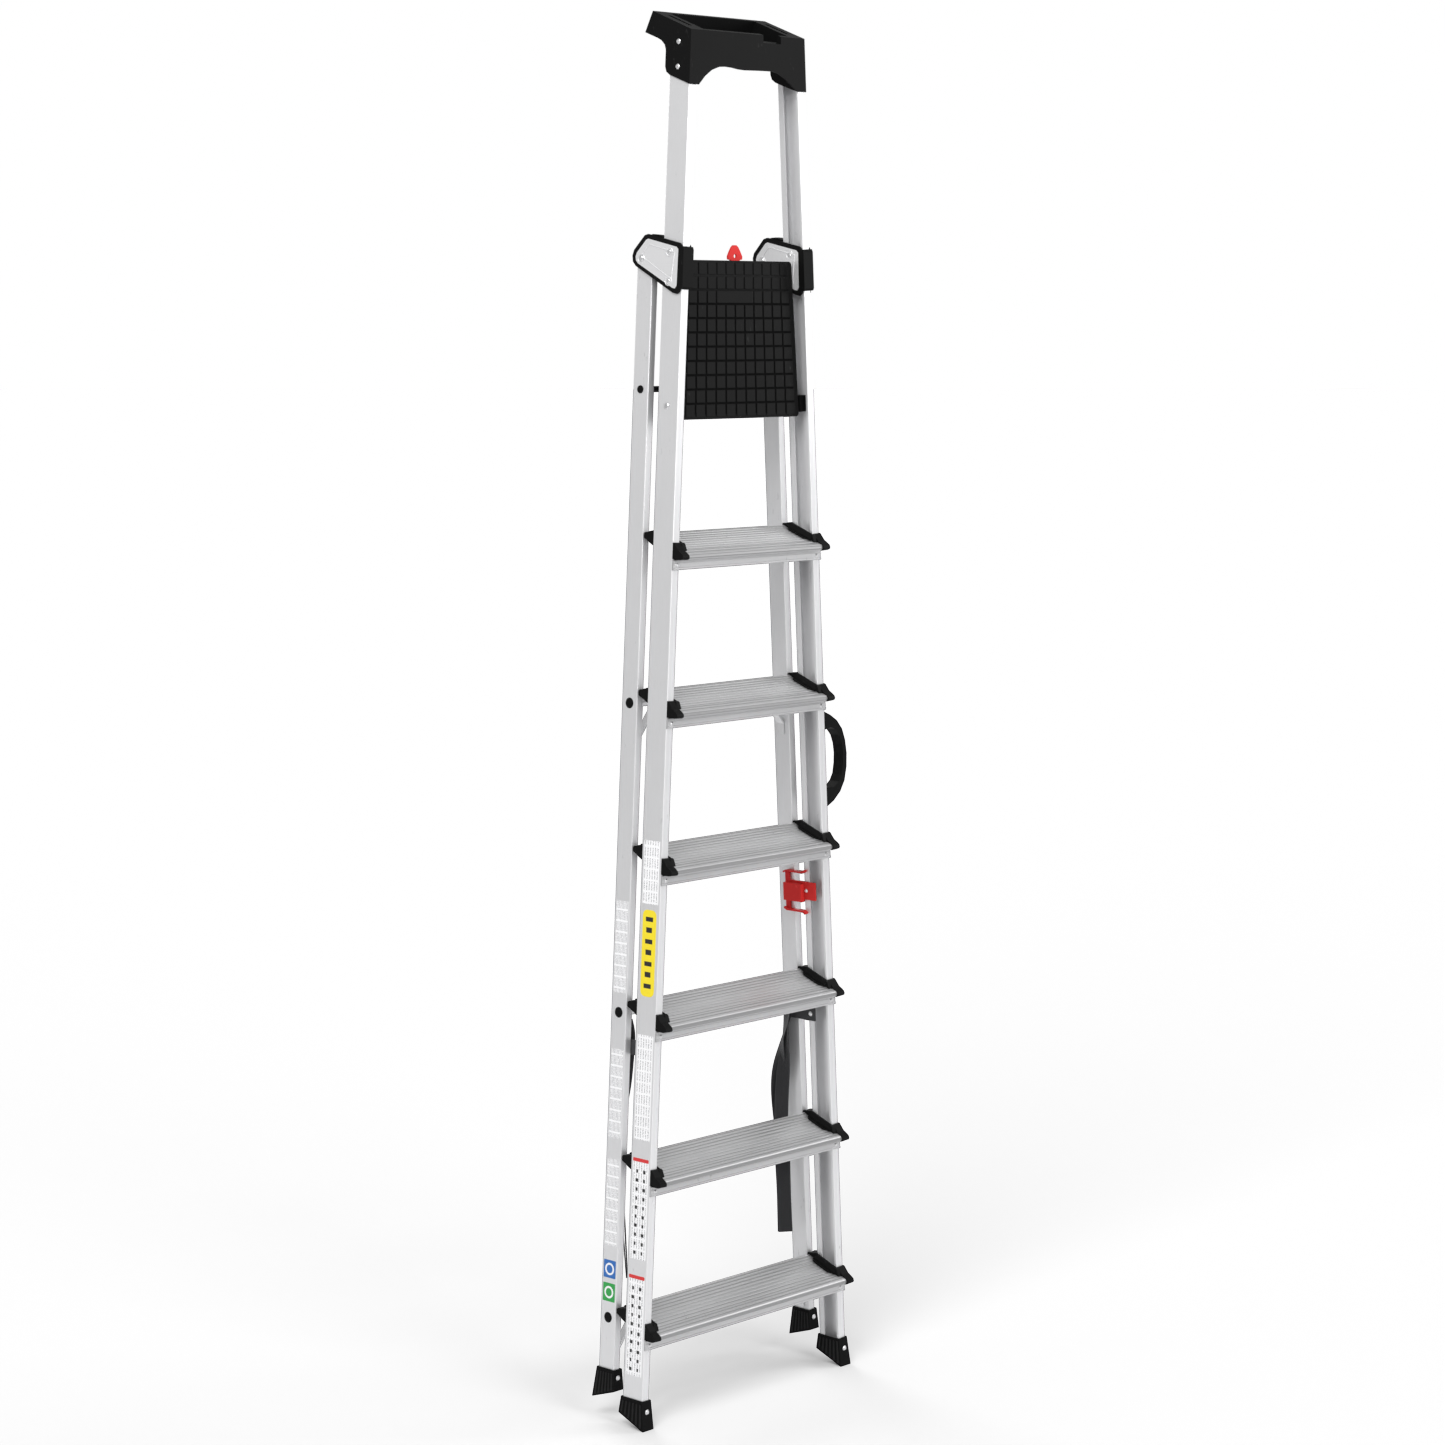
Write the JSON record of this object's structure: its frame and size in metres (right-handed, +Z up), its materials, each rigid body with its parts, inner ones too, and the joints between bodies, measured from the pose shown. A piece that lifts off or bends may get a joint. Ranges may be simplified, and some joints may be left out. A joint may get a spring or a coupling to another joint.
{
  "type": "folding platform step ladder",
  "caption": "Folding step ladder with sloped treads, a flip-up standing platform, a tool tray on tall front rails and a hinged rear section.",
  "frame": {"origin": "middle of the box that holds the folded ladder, at floor level", "axes": "+Z up along the folded ladder, +X to the right of someone facing the treads, +Y towards the rear section"},
  "size_m": [0.5406, 0.1424, 2.3989],
  "materials": {
    "aluminium": "satin",
    "black_plastic": "matte",
    "red_plastic": "satin",
    "webbing": "woven",
    "rivet_metal": "satin"
  },
  "bodies": {
    "front_section": {"carry_handle": "black_plastic", "closing_catch": "red_plastic", "fold_pins": "rivet_metal", "front_foot_left": "black_plastic", "front_foot_right": "black_plastic", "front_foot_rivets": "rivet_metal", "front_rail_left": "aluminium", "front_rail_right": "aluminium", "hinge_cover_inner_left": "aluminium", "hinge_cover_inner_right": "aluminium", "hinge_cover_outer_left": "aluminium", "hinge_cover_outer_right": "aluminium", "hinge_housing_left": "black_plastic", "hinge_housing_right": "black_plastic", "hinge_rivets": "rivet_metal", "inner_rivets": "rivet_metal", "platform_bracket_left": "black_plastic", "platform_bracket_right": "black_plastic", "platform_pins": "rivet_metal", "strap_tab_left": "webbing", "strap_tab_right": "webbing", "tool_tray": "black_plastic", "tray_rivets": "rivet_metal", "tread_1": "aluminium", "tread_2": "aluminium", "tread_3": "aluminium", "tread_4": "aluminium", "tread_5": "aluminium", "tread_6": "aluminium", "tread_cap_left_1": "black_plastic", "tread_cap_left_2": "black_plastic", "tread_cap_left_3": "black_plastic", "tread_cap_left_4": "black_plastic", "tread_cap_left_5": "black_plastic", "tread_cap_left_6": "black_plastic", "tread_cap_right_1": "black_plastic", "tread_cap_right_2": "black_plastic", "tread_cap_right_3": "black_plastic", "tread_cap_right_4": "black_plastic", "tread_cap_right_5": "black_plastic", "tread_cap_right_6": "black_plastic", "tread_rivets": "rivet_metal"},
    "rear_section": {"cross_bar_1": "aluminium", "cross_bar_2": "aluminium", "cross_bar_3": "aluminium", "cross_bar_braces": "aluminium", "platform_rest_bar": "black_plastic", "rail_plugs": "black_plastic", "rear_foot_left": "black_plastic", "rear_foot_right": "black_plastic", "rear_foot_rivets": "rivet_metal", "rear_rail_left": "aluminium", "rear_rail_right": "aluminium", "strap_rear_rivets": "rivet_metal"},
    "platform": {"platform_deck": "aluminium"},
    "latch": {"platform_latch": "red_plastic"},
    "strap_front_left": {"strap_front_left": "webbing"},
    "strap_front_right": {"strap_front_right": "webbing"},
    "strap_rear_left": {"strap_rear_left": "webbing"},
    "strap_rear_right": {"strap_rear_right": "webbing"}
  },
  "joints": [
    {"name": "fold", "type": "hinge", "parent": "front_section", "child": "rear_section", "pos_m": [-0.0021, 0.0482, 1.9883], "axis": [1, 0, 0], "range_deg": [0, 38]},
    {"name": "platform_flip", "type": "hinge", "parent": "front_section", "child": "platform", "pos_m": [-0.0021, -0.0198, 1.742], "axis": [-1, 0, 0], "range_deg": [0, 68.3]},
    {"name": "latch_pull", "type": "hinge", "parent": "platform", "child": "latch", "pos_m": [-0.0021, -0.01579, 1.96697], "axis": [-1, 0, 0], "range_deg": [0, 8], "stiffness_Nm_per_rad": 0.05},
    {"name": "strap_front_left_swing", "type": "hinge", "parent": "front_section", "child": "strap_front_left", "pos_m": [-0.0021, 0.0502, 0.65], "axis": [1, 0, 0], "range_deg": [0, 111.5]},
    {"name": "strap_rear_left_swing", "type": "hinge", "parent": "rear_section", "child": "strap_rear_left", "pos_m": [-0.0021, 0.0442, 0.685], "axis": [-1, 0, 0], "range_deg": [0, 107]},
    {"name": "strap_front_right_swing", "type": "hinge", "parent": "front_section", "child": "strap_front_right", "pos_m": [-0.0021, 0.0502, 0.65], "axis": [1, 0, 0], "range_deg": [0, 111.5]},
    {"name": "strap_rear_right_swing", "type": "hinge", "parent": "rear_section", "child": "strap_rear_right", "pos_m": [-0.0021, 0.0442, 0.685], "axis": [-1, 0, 0], "range_deg": [0, 107]}
  ],
  "couplings": [
    {"joint": "platform_flip", "follows": "fold", "ratio": 1.795},
    {"joint": "strap_front_left_swing", "follows": "fold", "ratio": 2.9256},
    {"joint": "strap_rear_left_swing", "follows": "fold", "ratio": 2.8113},
    {"joint": "strap_front_right_swing", "follows": "fold", "ratio": 2.9256},
    {"joint": "strap_rear_right_swing", "follows": "fold", "ratio": 2.8113}
  ]
}
